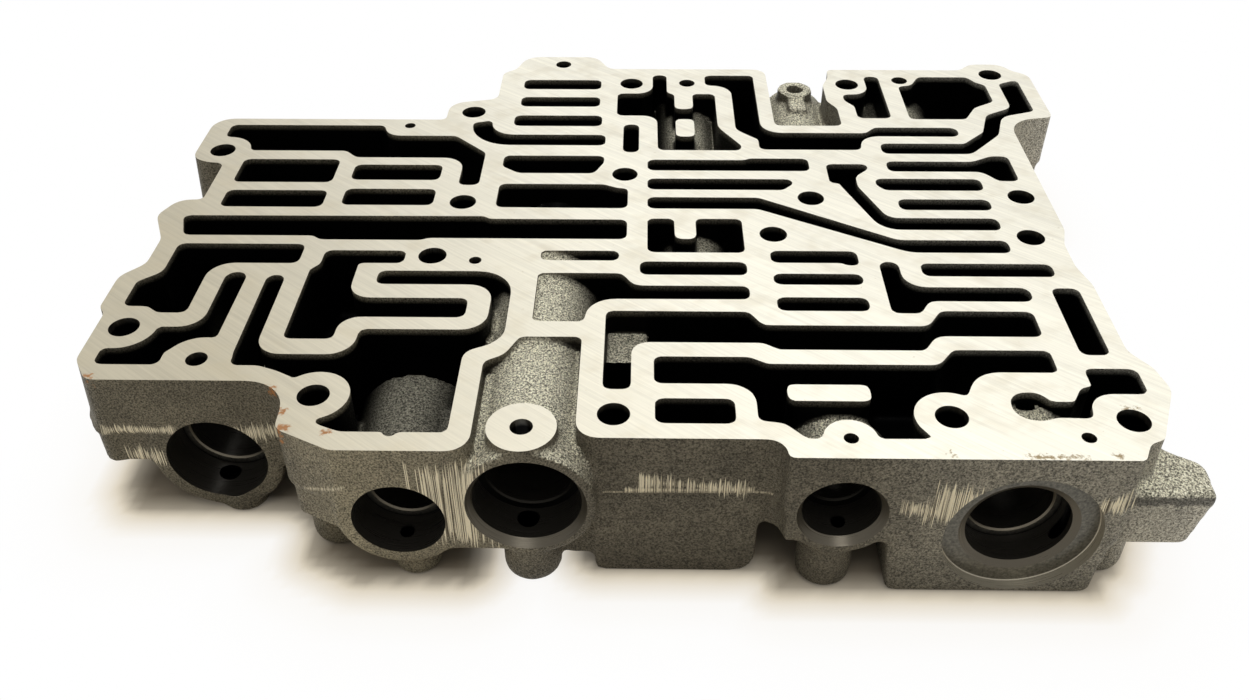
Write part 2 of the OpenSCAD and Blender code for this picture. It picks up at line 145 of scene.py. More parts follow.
def rims_at(co, tri, level):
    """Border edges of the flat face at a level, the corner inside each, and one number for each rim.

    Every point starts with its own number, and the two ends of an edge take the smaller of theirs
    until none changes, so all the points of one rim end with the same number.
    """
    flat = tri[(co[tri][:, :, 2] > level - LEVEL).all(1)]
    edges = np.sort(np.concatenate([flat[:, [0, 1]], flat[:, [1, 2]], flat[:, [2, 0]]]), 1)
    third = np.concatenate([flat[:, 2], flat[:, 0], flat[:, 1]])
    edges, first, uses = np.unique(edges, axis=0, return_index=True, return_counts=True)
    rim, inner = edges[uses == 1], third[first[uses == 1]]
    label, before = np.arange(len(co)), None
    while before is None or (before != label).any():
        before = label.copy()
        least = np.minimum(label[rim[:, 0]], label[rim[:, 1]])
        np.minimum.at(label, rim[:, 0], least)
        np.minimum.at(label, rim[:, 1], least)
    return rim, inner, label


def round_rims(co, rim, label):
    """Middle and radius of each rim whose points lie at one distance from their middle."""
    used = np.unique(rim)
    found = []
    for one in np.unique(label[used]):
        ring = co[used[label[used] == one]][:, :2]
        middle = (ring.min(0) + ring.max(0)) / 2
        reach = np.linalg.norm(ring - middle, axis=1)
        if np.ptp(reach) < ROUND and reach.mean() < WIDEST_HOLE:
            found.append((*middle, reach.mean()))
    return np.array(found)


rim, inner, label = rims_at(flat_points, triangles_of(solid), deck)
holes = round_rims(flat_points, rim, label)
print(len(holes), "drilled holes")

# %% [markdown]
# Drills, boring bars and the plugs that stop up a hole are all turned shapes: a profile carried round
# an axis. Blender's Spin could make them, but a formula gives the whole grid at once: the station along
# the profile is one parameter, and the angle round the axis is the other.

# %% Turned solids
AROUND = 96


def turned(profile, start, axis):
    """Closed turned solid: point(i, a) = start + along_i * axis + radius_i * (cos a * u + sin a * v)."""
    profile, start, axis = (np.array(v, float) for v in (profile, start, axis))
    u = np.cross(axis, [0, 0, 1] if abs(axis[2]) < 0.5 else [1, 0, 0])
    v = np.cross(axis, u)
    a = np.linspace(0, 2 * np.pi, AROUND, endpoint=False)
    ring = np.cos(a)[:, None] * u + np.sin(a)[:, None] * v
    grid = start + profile[:, 0, None, None] * axis + profile[:, 1, None, None] * ring
    i, j = np.meshgrid(np.arange(len(profile) - 1), np.arange(AROUND), indexing="ij")
    k = (j + 1) % AROUND
    quads = np.stack([i * AROUND + j, i * AROUND + k, (i + 1) * AROUND + k, (i + 1) * AROUND + j], -1)
    last = (len(profile) - 1) * AROUND
    ends = [list(range(AROUND))[::-1], list(range(last, last + AROUND))]
    mesh = bpy.data.meshes.new("turned")
    mesh.from_pydata(grid.reshape(-1, 3), [], quads.reshape(-1, 4).tolist() + ends)
    work = bmesh.new()
    work.from_mesh(mesh)
    bmesh.ops.recalc_face_normals(work, faces=work.faces)
    work.to_mesh(mesh)
    work.free()
    return mesh


print("turned solids have", AROUND, "facets round their axis")

# %% [markdown]
# The part's record gives the middle, axis, radius and length of each plug bore. A boring bar turns such
# a bore in one go, so it is one profile here too: the lead-in or the seat, the part that takes the
# plug, the shoulder where the plug stops, and the narrower part behind it, where a valve slides.

# %% Bore profiles
PLUG_DEPTH = 11 * MM
SHOULDER = 2 * MM
BORE_DEPTH = 34 * MM
OVERRUN = 4 * MM
EDGE = 0.4 * MM
SEAT_EDGE = 0.2 * MM
# Lead-in: its length and its rise. Seat: depth and radius of its floor, length and rise of its lead-in.
LEAD = {"plug_bore_open": mm(2, 1.3), "plug_bore_fourth": mm(2, 1.3)}
SEAT = {"plug_bore_right": mm(2.75, 17.3, 1, 1.6)}


def bore_profile(mount):
    """Stations (way inwards from the face, radius) of a bore, the middle of its face and the way in."""
    r = mount["dims"]["r_mm"] * MM
    way = 0
    mouth = [(-OVERRUN, r), (0, r)]
    if mount["name"] in LEAD:
        way, rise = LEAD[mount["name"]]
        mouth = [(-way, r + 2 * rise), (0, r + rise), (way, r)]
    if mount["name"] in SEAT:
        floor_way, wide, run, rise = SEAT[mount["name"]]
        way = floor_way + run
        mouth = [(-OVERRUN, wide), (floor_way - SEAT_EDGE, wide), (floor_way, wide - SEAT_EDGE),
                 (floor_way, r + rise), (way, r)]
    behind = [(PLUG_DEPTH, r), (PLUG_DEPTH, r - SHOULDER + EDGE), (PLUG_DEPTH + EDGE, r - SHOULDER),
              (BORE_DEPTH, r - SHOULDER)]
    axis = -np.array(mount["axis"], float)
    face = np.array(mount["pos_m"]) - axis * (mount["dims"]["length_mm"] / 2 * MM + way)
    return np.array(mouth + behind), face, axis


plugs = [m for m in frame["record"]["mounts"] if m["kind"] == "bore"]
bores = [bore_profile(m) for m in plugs]
print(len(bores), "plug bores of radius", [m["dims"]["r_mm"] for m in plugs], "mm")

# %% [markdown]
# A sand casting has no sharp corner anywhere. Bevels on thousands of crossing edges fail sooner or
# later, so the raw casting is made the way clay is: the solid is turned into an even skin of small
# quads (a voxel remesh) and the skin is eased. First the flat face is lifted above its level and the
# bores and holes are stopped up, so that what is machined later stays untouched by the easing.

# %% Raw casting
VOXEL = 0.85 * MM
LIFT = 5 * MM
GRIP = 0.6 * MM
STOP_DEPTH = 6 * MM
COLLAR = 3 * MM
TAPER = 1 * MM
PAST_SHOULDER = 2 * MM
JUST_INSIDE = 0.001 * MM
DOWN = np.array([0, 0, -1.0])


def put_points(mesh, co):
    """Writes the rows of an array back as the vertices' places."""
    mesh.vertices.foreach_set("co", co.astype(np.float32).ravel())
    mesh.update()


def bore_stop(profile, face, axis):
    """Plug that fills a bore flush with its face, a grip wider than the cut to come."""
    mouth = np.interp(JUST_INSIDE, *profile.T) + GRIP
    plug = profile[-1, 1] + SHOULDER + GRIP
    stations = [(0, mouth), (COLLAR, mouth), (COLLAR + TAPER, plug), (PLUG_DEPTH + PAST_SHOULDER, plug)]
    return turned(stations, face, axis)


def joined(meshes, name):
    """One mesh object that holds several shells."""
    work = bmesh.new()
    for mesh in meshes:
        work.from_mesh(mesh)
    whole = bpy.data.meshes.new(name)
    work.to_mesh(whole)
    work.free()
    obj = bpy.data.objects.new(name, whole)
    bpy.context.scene.collection.objects.link(obj)
    return obj


def carried_out(obj):
    """Mesh of an object with its modifiers carried out."""
    seen = obj.evaluated_get(bpy.context.evaluated_depsgraph_get())
    return bpy.data.meshes.new_from_object(seen)


def spent():
    """Time since the frame was loaded, in words."""
    return f"after {time.time() - began:.1f} s"


lifted = flat_points.copy()
lifted[lifted[:, 2] > deck - LEVEL, 2] += LIFT
put_points(solid, lifted)
stops = [turned([(0, r + GRIP), (LIFT + STOP_DEPTH, r + GRIP)], (x, y, deck + LIFT), DOWN)
         for x, y, r in holes]
stops += [bore_stop(*bore) for bore in bores]
raw = joined([solid] + stops, "raw_casting")
remesh = raw.modifiers.new("skin", "REMESH")
remesh.mode = "VOXEL"
remesh.voxel_size = VOXEL
skin = carried_out(raw)
print("skin of", len(skin.polygons), "quads", spent())

# %% [markdown]
# The outer walls of the casting stand under the outer rim of its machined face. That rim is the widest
# of the rims found above. Points are set along it at even steps, and at each of them the way out is the
# normal of its edge, turned to point off the face.

# %% Outer rim
RIM_STEP = 0.7 * MM


def outer_rim(spacing):
    """Points along the widest rim, each at t = (k + 1/2) / count of its edge, and the way out there."""
    used = np.unique(rim)
    spans = {one: np.ptp(flat_points[used[label[used] == one], 0]) for one in np.unique(label[used])}
    outer = label[rim[:, 0]] == max(spans, key=spans.get)
    a, b, c = (flat_points[k][:, :2] for k in (rim[outer, 0], rim[outer, 1], inner[outer]))
    side = np.stack([(b - a)[:, 1], -(b - a)[:, 0]], 1)
    side *= -np.sign(((c - a) * side).sum(1))[:, None] / np.linalg.norm(side, axis=1)[:, None]
    count = np.ceil(np.linalg.norm(b - a, axis=1) / spacing).astype(int)
    edge = np.repeat(np.arange(len(a)), count)
    t = (np.arange(len(edge)) - np.repeat(np.cumsum(count) - count, count) + 0.5) / count[edge]
    return a[edge] + (b - a)[edge] * t[:, None], side[edge]


rim_points, rim_ways = outer_rim(RIM_STEP)
print("outer rim of", len(rim_points), "points")

# %% [markdown]
# Later steps ask of every vertex how far it lies from that rim, and which way is out there. To compare
# each vertex with each rim point would be slow, so this is worked out once for each millimetre of the
# plan, and then read from that map.

# %% Plan map
CELL = 1 * MM
MARGIN = 6 * MM
PARTS = 80
SLIVER = 0.001


def nearest(places, points):
    """Number of the point nearest to each place, worked out in parts to save memory."""
    return np.concatenate([((part[:, None] - points) ** 2).sum(2).argmin(1)
                           for part in np.array_split(places, PARTS)])


def plan_map(points, ways):
    """For each cell of the plan: distance to the nearest point, above 0 outside, and the way out there."""
    nx, ny = (np.ceil((plan_high - plan_low) / CELL) + 1).astype(int)
    gx, gy = np.meshgrid(np.arange(nx), np.arange(ny), indexing="ij")
    cells = plan_low + np.stack([gx, gy], -1).reshape(-1, 2) * CELL
    close = nearest(cells, points)
    gap = cells - points[close]
    out = (gap * ways[close]).sum(1)
    gap = np.copysign(np.linalg.norm(gap, axis=1), out)
    return gap.reshape(nx, ny, 1), ways[close].reshape(nx, ny, 2)


def plan_look(field, co):
    """Value of a plan map at each point, blended from the four cells round it."""
    end = np.array(field.shape[:2]) - 1 - SLIVER
    at = np.clip((co[:, :2] - plan_low) / CELL, 0, end)
    i, j = at.astype(int).T
    u, v = (at - at.astype(int)).T[:, :, None]
    return ((field[i, j] * (1 - u) + field[i + 1, j] * u) * (1 - v)
            + (field[i, j + 1] * (1 - u) + field[i + 1, j + 1] * u) * v)


plan_low, plan_high = np.array(low[:2]) - MARGIN, np.array(high[:2]) + MARGIN
rim_gap, rim_way = plan_map(rim_points, rim_ways)
print("plan map of", rim_gap.shape[:2], "cells", spent())

# %% [markdown]
# A pattern has to leave the sand, so the left walls lean: they flare from the machined face down to the
# parting line, where the two halves of the mould meet, with a small step and a thin ridge of flash.
# All three are one outward shift of the outer skin that depends on the height, so they follow the
# outline by themselves. Near the plug bores the shift fades, because the machined rims stay true.

# %% Lean of the walls and the flash ridge
PARTING = deck - 16 * MM
FLARE = 1.3 * MM
STEP_OUT = 0.9 * MM
FLASH = 0.35 * MM
FLASH_HALF = 0.8 * MM
NEAR = 1.3 * MM
LEAN_FROM = -80 * MM
LEAN_FADE = 25 * MM
BORE_CLEAR = 5 * MM
# Waves of the flash in radians for a metre: a long one along X, and a short one along X and Y
LONG_WAVE = 410
SHORT_WAVE = (1130, 700)


def smooth_step(t):
    """0 below 0, 1 above 1, and 3t^2 - 2t^3 between."""
    t = np.clip(t, 0, 1)
    return t * t * (3 - 2 * t)


def from_bores(co):
    """Distance of each point to the nearest plug bore's axis line, less that bore's radius."""
    return np.min([np.linalg.norm(np.cross(co - face, axis), axis=1) - profile[-1, 1]
                   for profile, face, axis in bores], 0)


def ragged(co):
    """Height of the flash, from 0.1 to 1: 0.55 + 0.25 sin(long wave + 2) + 0.2 sin(short wave)."""
    x, y = co[:, 0], co[:, 1]
    short = x * SHORT_WAVE[0] + y * SHORT_WAVE[1]
    return 0.55 + 0.25 * np.sin(x * LONG_WAVE + 2) + 0.2 * np.sin(short)


co = points_of(skin)
drop = np.clip((deck - co[:, 2]) / (deck - PARTING), 0, 1)
way = plan_look(rim_way, co)
left = smooth_step((LEAN_FROM - co[:, 0]) / LEAN_FADE) * np.clip(-way[:, 0], 0, 1)
shift = left * (FLARE * drop + STEP_OUT * (co[:, 2] < PARTING))
shift += FLASH * ragged(co) * np.exp(-((co[:, 2] - PARTING) / FLASH_HALF) ** 2)
shift *= 1 - smooth_step((np.abs(plan_look(rim_gap, co)[:, 0]) - NEAR) / NEAR)
shift *= smooth_step((from_bores(co) - BORE_CLEAR) / BORE_CLEAR)
co[:, :2] += shift[:, None] * way
put_points(skin, co)
print("walls lean out up to", round(shift.max() / MM, 2), "mm")

# %% [markdown]
# Easing moves each point towards the mean of its neighbours. Alone it shrinks thin feet, so each
# step is followed by a slightly larger step back, which keeps the large form and leaves only the
# small steps and edges rounded. Near the machined face the step is smaller, to keep the lands' width.

# %% Ease the skin
SOFT_STEPS = [0.5]
KEEP_STEPS = [0.6, -0.63] * 6
LEAST_EASE = 0.3
CRISP_DEPTH = 2 * MM
SOFT_DEPTH = 9 * MM


def eased(mesh, steps, share):
    """Moves every point by step * share of the way to the mean of its neighbours, step by step."""
    co = points_of(mesh)
    pairs = np.empty(len(mesh.edges) * 2, np.int32)
    mesh.edges.foreach_get("vertices", pairs)
    a, b = pairs.reshape(-1, 2).T
    n = len(co)
    degree = np.bincount(a, minlength=n) + np.bincount(b, minlength=n)
    part = share(co)[:, None]
    for step in steps:
        near = [np.bincount(a, co[b, k], n) + np.bincount(b, co[a, k], n) for k in range(3)]
        co += step * part * (np.stack(near, 1) / degree[:, None] - co)
    put_points(mesh, co)


def softness(co):
    """Share of easing: small near the machined face, full below."""
    return LEAST_EASE + (1 - LEAST_EASE) * smooth_step((deck - CRISP_DEPTH - co[:, 2]) / SOFT_DEPTH)


eased(skin, SOFT_STEPS + KEEP_STEPS, softness)
print("eased in", len(SOFT_STEPS + KEEP_STEPS), "steps", spent())

# %% [markdown]
# The remesh spends as many quads on a flat wall as on a corner. Thinning them by hand would never end,
# so the Decimate modifier joins those that lie flat, and the piece stays light enough to share.

# %% Thin the skin
SKIN_TRIANGLES = 150_000
raw.data = skin
raw.modifiers.clear()
thin = raw.modifiers.new("thin", "DECIMATE")
thin.ratio = min(1, SKIN_TRIANGLES / (2 * len(skin.polygons)))
skin = carried_out(raw)
print("thinned to", len(skin.polygons), "faces", spent())

# %% [markdown]
# Now the machine shop. A mill takes the lifted face down to its level, drills open the bolt and pin
# holes, and boring bars turn the plug bores. Each tool is a closed solid that a boolean takes away,
# so every machined edge comes out as sharp as on the real part.

# %% Machine it
NOTCH = mm(-50.2, -89, 1.6)
NOTCH_DEPTH = 34 * MM
DRILL_DEPTH = 38 * MM
ABOVE = 1 * MM
MILL_RADIUS = 300 * MM
MILL_HEIGHT = 50 * MM
raw.data = skin
raw.modifiers.clear()


def cut(obj, meshes, name):
    """Takes the shells of a cutter away from an object."""
    tool = joined(meshes, name)
    step = obj.modifiers.new(name, "BOOLEAN")
    step.operation = "DIFFERENCE"
    step.solver = "MANIFOLD"
    step.object = tool
    mesh = carried_out(obj)
    obj.modifiers.clear()
    obj.data = mesh
    bpy.data.objects.remove(tool)
    print(name, "leaves", len(mesh.polygons), "faces", spent())


def drill(x, y, r, depth):
    """Drill of a radius that goes straight down from the machined face."""
    return turned([(-ABOVE, r), (depth, r)], (x, y, deck), DOWN)


mill = turned([(0, MILL_RADIUS), (MILL_HEIGHT, MILL_RADIUS)], (0, 0, deck), -DOWN)
cut(raw, [mill], "face_mill")
drills = [drill(*hole, DRILL_DEPTH) for hole in holes]
drills.append(drill(*NOTCH, NOTCH_DEPTH))
cut(raw, drills, "drill")
cut(raw, [turned(*bore) for bore in bores], "boring_bar")

# %% [markdown]
# Three kinds of surface meet on this one casting, so its faces are sorted into three materials by
# where all their corners lie: level with the machined face, on a bore or hole, or anywhere else.
# Faces could be picked by hand, but the cutters' own sizes say exactly what each of them touched.

# %% Sort the faces
SLACK = 0.06 * MM
IN_FRONT = 3 * MM
SHARP_ANGLE = 31
CAST, MILLED, BORED = range(3)
casting = raw
casting.name = "casting"
mesh = casting.data
co = points_of(mesh)
corners = np.empty(len(mesh.loops), np.int32)
mesh.loops.foreach_get("vertex_index", corners)
starts = np.empty(len(mesh.polygons), np.int32)
mesh.polygons.foreach_get("loop_start", starts)


def faces_in(points):
    """Faces all of whose corners are among the marked points."""
    return np.logical_and.reduceat(points[corners], starts)


def bore_points(profile, face, axis):
    """Way inwards and distance from the axis of every point, and which points lie on or in the bore."""
    way = (co - face) @ axis
    reach = np.linalg.norm(np.cross(co - face, axis), axis=1)
    widest = np.maximum(np.interp(way - SLACK, *profile.T), np.interp(way + SLACK, *profile.T))
    within = (reach < widest + SLACK) & (way < BORE_DEPTH + SLACK) & (way > -IN_FRONT)
    return way, reach, within


def hole_points(x, y, r):
    """Points that lie on or in a drilled hole."""
    return np.hypot(co[:, 0] - x, co[:, 1] - y) < r + SLACK


kind = np.full(len(starts), CAST, np.int32)
for bore in bores:
    kind[faces_in(bore_points(*bore)[2])] = BORED
for hole in [*holes, NOTCH]:
    kind[faces_in(hole_points(*hole))] = BORED
kind[faces_in(co[:, 2] > deck - LEVEL)] = MILLED
mesh.shade_smooth()
mesh.set_sharp_from_angle(angle=math.radians(SHARP_ANGLE))
print("cast, milled and bored faces:", np.bincount(kind).tolist())

# %% [markdown]
# The channels and the ends of the bores are nearly black: partly old oil and partly painted shade, for
# little light gets in there. The wall of the right bore's seat is painted light, a bright lit rim.
# Painted marks would be lost with each change of shape, so two values are worked out for each point:
# "inside" says how oily and shaded its place is, and the other marks the seat's wall. The recess at
# the front takes a little less of the oil and painted shade than the channels.

# %% Oily places with painted shade, and painted light on the seat
CHANNEL_START = 2.5 * MM
CHANNEL_FADE = 1 * MM
RECESS_MIDDLE = (-21, -47)
RECESS_HALF = (18, 39)
RECESS_FADE = 3 * MM
# Oil and painted shade: share in the front recess and at the deep ends of the bores
RECESS_OIL_AND_SHADE = 0.9
DEEP_OIL_AND_SHADE = 0.94
AT_RIM = 0.5 * MM


def keep_value(mesh, name, values):
    """Gives each point of a mesh a value under a name that a material can read."""
    mesh.attributes.new(name, "FLOAT", "POINT").data.foreach_set("value", values.astype(np.float32))


gap = plan_look(rim_gap, co)[:, 0]
# Oil and painted shade in the channels
inside = smooth_step((-gap - CHANNEL_START) / CHANNEL_FADE)
off = np.abs(co[:, :2] - mm(*RECESS_MIDDLE)) - mm(*RECESS_HALF)
recess = RECESS_OIL_AND_SHADE * smooth_step(-off.max(1) / RECESS_FADE)
inside = np.where(gap > -AT_RIM, np.maximum(inside, recess), inside)
painted_seat_light = np.zeros(len(co))
for mount, bore in zip(plugs, bores):
    way, reach, within = bore_points(*bore)
    outer_corner = reach > bore[0][-1, 1] + SHOULDER - SLACK
    deep = (way > PLUG_DEPTH - SLACK) & (outer_corner | (mount["name"] in LEAD))
    # Oil and painted shade at the deep end of each bore
    inside[within] = DEEP_OIL_AND_SHADE * deep[within]
    if mount["name"] in SEAT:
        # Painted light on the wall of the right bore's seat
        painted_seat_light[within & (reach > SEAT[mount["name"]][1] - SLACK)] = 1
for hole in [*holes, NOTCH]:
    inside[hole_points(*hole)] = 1
keep_value(mesh, "inside", inside)
keep_value(mesh, "painted_seat_light", painted_seat_light)
print("oily points:", int((inside > 0.5).sum()), "bright points:", int(painted_seat_light.sum()))

# %% [markdown]
# A material is a tree of nodes. Every node and link could be typed out, but that hides the idea, so
# a few helpers each add a node, set or link its inputs and hand back its output. With them a tree
# reads like a formula.

# %% Helpers for shader nodes
def put(tree, kind, sockets=(), **settings):
    """Adds a node with its settings and gives each input, by name or number, a value or a link."""
    node = tree.nodes.new(kind)
    for key, value in settings.items():
        setattr(node, key, value)
    for key, value in dict(sockets).items():
        if isinstance(value, bpy.types.NodeSocket):
            tree.links.new(value, node.inputs[key])
        else:
            node.inputs[key].default_value = value
    return node


def calc(tree, operation, *terms):
    """Result of a Math node on its terms."""
    return put(tree, "ShaderNodeMath", enumerate(terms), operation=operation).outputs[0]


def vector(tree, operation, *terms):
    """Result of a Vector Math node on its terms."""
    return put(tree, "ShaderNodeVectorMath", enumerate(terms), operation=operation).outputs[0]


def spread(tree, value, start, end, low=0.0, high=1.0):
    """Value mapped from start..end to low..high and held at the ends."""
    sockets = {"Value": value, "From Min": start, "From Max": end, "To Min": low, "To Max": high}
    return put(tree, "ShaderNodeMapRange", sockets).outputs[0]


def surface(tree, which):
    """Object place or Normal of the surface."""
    return put(tree, "ShaderNodeTexCoord").outputs[which]


def axes(tree, place):
    """The x, y and z of a place or a normal."""
    return put(tree, "ShaderNodeSeparateXYZ", {0: place}).outputs


def group(name, inputs, output):
    """Empty shader node group with its named sockets: the tree, what goes in and what comes out."""
    tree = bpy.data.node_groups.new(name, "ShaderNodeTree")
    for title, kind in inputs.items():
        tree.interface.new_socket(title, in_out="INPUT", socket_type="NodeSocket" + kind)
    tree.interface.new_socket(output, in_out="OUTPUT", socket_type="NodeSocketFloat")
    return tree, tree.nodes.new("NodeGroupInput").outputs, tree.nodes.new("NodeGroupOutput").inputs


def use(tree, shared, **sockets):
    """Output of a node group whose inputs are named here in lower case."""
    named = {key.capitalize(): value for key, value in sockets.items()}
    return put(tree, "ShaderNodeGroup", named, node_tree=shared).outputs[0]


print("helpers for nodes are ready", spent())

# %% [markdown]
# The sand of the mould leaves grain of about half a millimetre on every wall. Millions of small dents
# are too many to model, so they are noise in the material. All three materials use it, so it is a node
# group, and its one input is the size of a grain in millimetres.

# %% Node group: grain
grain, ask, give = group("grain", {"Size": "Float"}, "Value")
scale = calc(grain, "DIVIDE", 1 / MM, ask["Size"])
sockets = {"Vector": surface(grain, "Object"), "Scale": scale, "Detail": 3.0, "Roughness": 0.65}
noise = put(grain, "ShaderNodeTexNoise", sockets).outputs[0]
grain.links.new(spread(grain, noise, 0.25, 0.75), give["Value"])
print("grain:", len(grain.nodes), "nodes")

# %% [markdown]
# A mill leaves fine slanting lines, a boring bar leaves rings and a grinder leaves scratches. All of
# them are one noise pulled long: the place is turned, then multiplied by a factor for each axis, and a
# large factor makes the lines fine across that axis.

# %% Node group: lines
lines, ask, give = group("lines", {"Turn": "Float", "Stretch": "Vector"}, "Value")


def rotated(tree, place, angle, axis):
    """Place turned by an angle about one axis through the origin."""
    sockets = {"Vector": place, "Angle": angle}
    return put(tree, "ShaderNodeVectorRotate", sockets, rotation_type=axis).outputs[0]


place = rotated(lines, surface(lines, "Object"), ask["Turn"], "Z_AXIS")
place = vector(lines, "MULTIPLY", place, ask["Stretch"])
sockets = {"Vector": place, "Scale": 1.0, "Detail": 2.0, "Roughness": 0.6}
noise = put(lines, "ShaderNodeTexNoise", sockets).outputs[0]
lines.links.new(spread(lines, noise, 0.3, 0.7), give["Value"])
print("lines:", len(lines.nodes), "nodes")

# %% [markdown]
# Where a grinder took off flash, or a spot of rust sits, the finish changes within a small ragged
# patch, and so does the colour where shade is painted. A painted picture would do, but a formula stays
# sharp at any zoom: the patch is a tilted box, and its mask is 1 where a point lies inside all three
# half sizes, give or take a wave.

# %% Node group: patch
PATCH_EDGE = 0.4 * MM
sockets = {"Middle": "Vector", "Half": "Vector", "Tilt": "Float", "Wave": "Float"}
patch, ask, give = group("patch", sockets, "Mask")
place = vector(patch, "SUBTRACT", surface(patch, "Object"), ask["Middle"])
place = vector(patch, "ABSOLUTE", rotated(patch, place, ask["Tilt"], "Y_AXIS"))
x, y, z = axes(patch, vector(patch, "SUBTRACT", place, ask["Half"]))
most = calc(patch, "MAXIMUM", calc(patch, "MAXIMUM", x, y), z)
most = calc(patch, "ADD", most, ask["Wave"])
patch.links.new(spread(patch, most, PATCH_EDGE, -PATCH_EDGE), give["Mask"])
print("patch:", len(patch.nodes), "nodes")

# %% [markdown]
# Oil stays black where nothing wipes it off, and little light gets down into the channels, so this
# black is partly oil and partly painted shade. It starts below the machined face, at once on a wall and
# only deeper down on what looks up. The depth is worked out in the shader and not stored on points,
# because a boolean leaves large triangles over which a stored depth would smear.

# %% Node group: oil and painted shade
WALL_DEPTHS = mm(0.2, 2)
TOP_DEPTHS = mm(4, 14)
sockets = {"Inside": "Float", "Upward": "Float", "Level": "Float", "Reach": "Float"}
oil_and_shade, ask, give = group("oil_and_shade", sockets, "Mask")
x, y, z = axes(oil_and_shade, surface(oil_and_shade, "Object"))
below = calc(oil_and_shade, "SUBTRACT", ask["Level"], z)
wall = spread(oil_and_shade, below, *WALL_DEPTHS)
top = spread(oil_and_shade, below, *TOP_DEPTHS)
mask = calc(oil_and_shade, "MULTIPLY_ADD", calc(oil_and_shade, "SUBTRACT", top, wall), ask["Upward"], wall)
mask = calc(oil_and_shade, "MULTIPLY", mask, calc(oil_and_shade, "LESS_THAN", below, ask["Reach"]))
oil_and_shade.links.new(calc(oil_and_shade, "MULTIPLY", mask, ask["Inside"]), give["Mask"])
print("node groups:", [g.name for g in bpy.data.node_groups])

# %% [markdown]
# The casting carries the marks of its life: patches along the parting line and beside the bores that a
# grinder made bare, and a few rust spots on the left front edge. Some darker places are painted shade:
# under the side lug's lip, in a pit on it and on the walls behind the second bore's face. Each is one
# box for the patch group, in the part's own millimetres: its middle and half size, and for all but the
# rust its tilt in degrees and how ragged it is.

# %% Ground places, painted shade and rusty places
GROUND = [
    # Left corner and beside the left bore
    ((-113.2, -74, 26.8), (8.2, 5, 0.9), 0, 1.8),
    ((-114, -74, 18), (4, 5, 1.4), 0, 5),
    ((-85.5, -74, 26.4), (5, 5, 1.4), 12, 4),
    # Either side of the second bore
    ((-65.5, -93, 28.7), (5.5, 5, 0.2), 25, 0.6),
    ((-38, -96, 25.5), (6.5, 4, 10.5), 0, 8),
    # Middle block
    ((14.3, -91, 28), (11, 4, 1.2), -6, 4),
    ((13.5, -91, 26.7), (14, 4, 0.6), 1, 1),
    ((13.3, -91, 26), (18.5, 4, 0.15), 1, 0.5),
    # Either side of the right bore
    ((71.5, -97, 27.6), (6, 4, 4.4), -14, 6),
    ((63.5, -97, 26.8), (4.5, 4, 1.3), -10, 3),
    ((102.3, -97, 28.4), (4.6, 4, 1.7), 20, 4)]
PAINTED_SHADE_PATCHES = [
    # Painted shade: the line under the side lug's lip, the dot in a pit on it, and the walls behind the
    # second bore's face
    ((116, -95, 29), (13, 2, 1.1), 0, 1.5),
    ((117.8, -95, 26.4), (0.7, 2, 0.3), 0, 0.6),
    ((-51, -74, 30), (14, 13, 9), 0, 2)]
RUST = [
    ((-79.6, -75.6, 42), (1.3, 0.7, 2)),
    ((-74.7, -83.2, 42), (0.7, 0.8, 2)),
    ((-73, -88.3, 41), (1.1, 0.8, 2.5)),
    ((-63.7, -89.7, 42), (0.8, 0.6, 2)),
    ((-121.1, -71.8, 42), (0.8, 0.5, 2))]
SPOT_RAGGED = 2.5
SPOT_GRAIN = 1.2


def patches(tree, boxes, noise):
    """Mask of several ragged boxes: the most of their masks."""
    mask = 0.0
    swing = calc(tree, "SUBTRACT", noise, 0.5)
    for middle, half, tilt, ragged_by in boxes:
        wave = calc(tree, "MULTIPLY", swing, ragged_by * MM)
        one = use(tree, patch, middle=mm(*middle), half=mm(*half), tilt=math.radians(tilt), wave=wave)
        mask = calc(tree, "MAXIMUM", mask, one)
    return mask


def spots(tree, boxes, noise):
    """Mask of small spots, which are ragged boxes with no tilt."""
    return patches(tree, [(*box, 0, SPOT_RAGGED) for box in boxes], noise)


print(len(GROUND), "ground patches,", len(PAINTED_SHADE_PATCHES), "dim ones and", len(RUST), "rust spots")

# %% [markdown]
# A few more helpers serve all the materials: a new Principled shader, the values kept on the points,
# two ways to change a colour, a bump and the links to the shader. Only values that change over the
# surface are linked; what is the same all over is set on the shader itself.

# %% Helpers for materials
def new_material(name):
    """Material with a Principled shader: itself, its tree and the shader's inputs."""
    material = bpy.data.materials.new(name)
    material.use_nodes = True
    return material, material.node_tree, material.node_tree.nodes["Principled BSDF"].inputs


def value_of(tree, name):
    """Value of a point attribute of the mesh."""
    return put(tree, "ShaderNodeAttribute", attribute_name=name).outputs["Fac"]


def blend(tree, share, a, b, way="MIX"):
    """Colour a where share is 0 and b where it is 1."""
    sockets = {0: share, 6: a, 7: b}
    return put(tree, "ShaderNodeMix", sockets, data_type="RGBA", blend_type=way).outputs[2]


def scaled(tree, colour, value):
    """Colour times a value."""
    grey = put(tree, "ShaderNodeCombineColor", {0: value, 1: value, 2: value}).outputs[0]
    return blend(tree, 1.0, colour, grey, "MULTIPLY")


def bump(tree, height, distance):
    """Normal of a bump of a height value."""
    return put(tree, "ShaderNodeBump", {"Height": height, "Distance": distance}).outputs[0]


def wire(tree, shader, **values):
    """Links values to the shader's inputs, named here in lower case with _ for a space."""
    for key, value in values.items():
        tree.links.new(value, shader[key.replace("_", " ").title()])


print("helpers for materials are ready", spent())

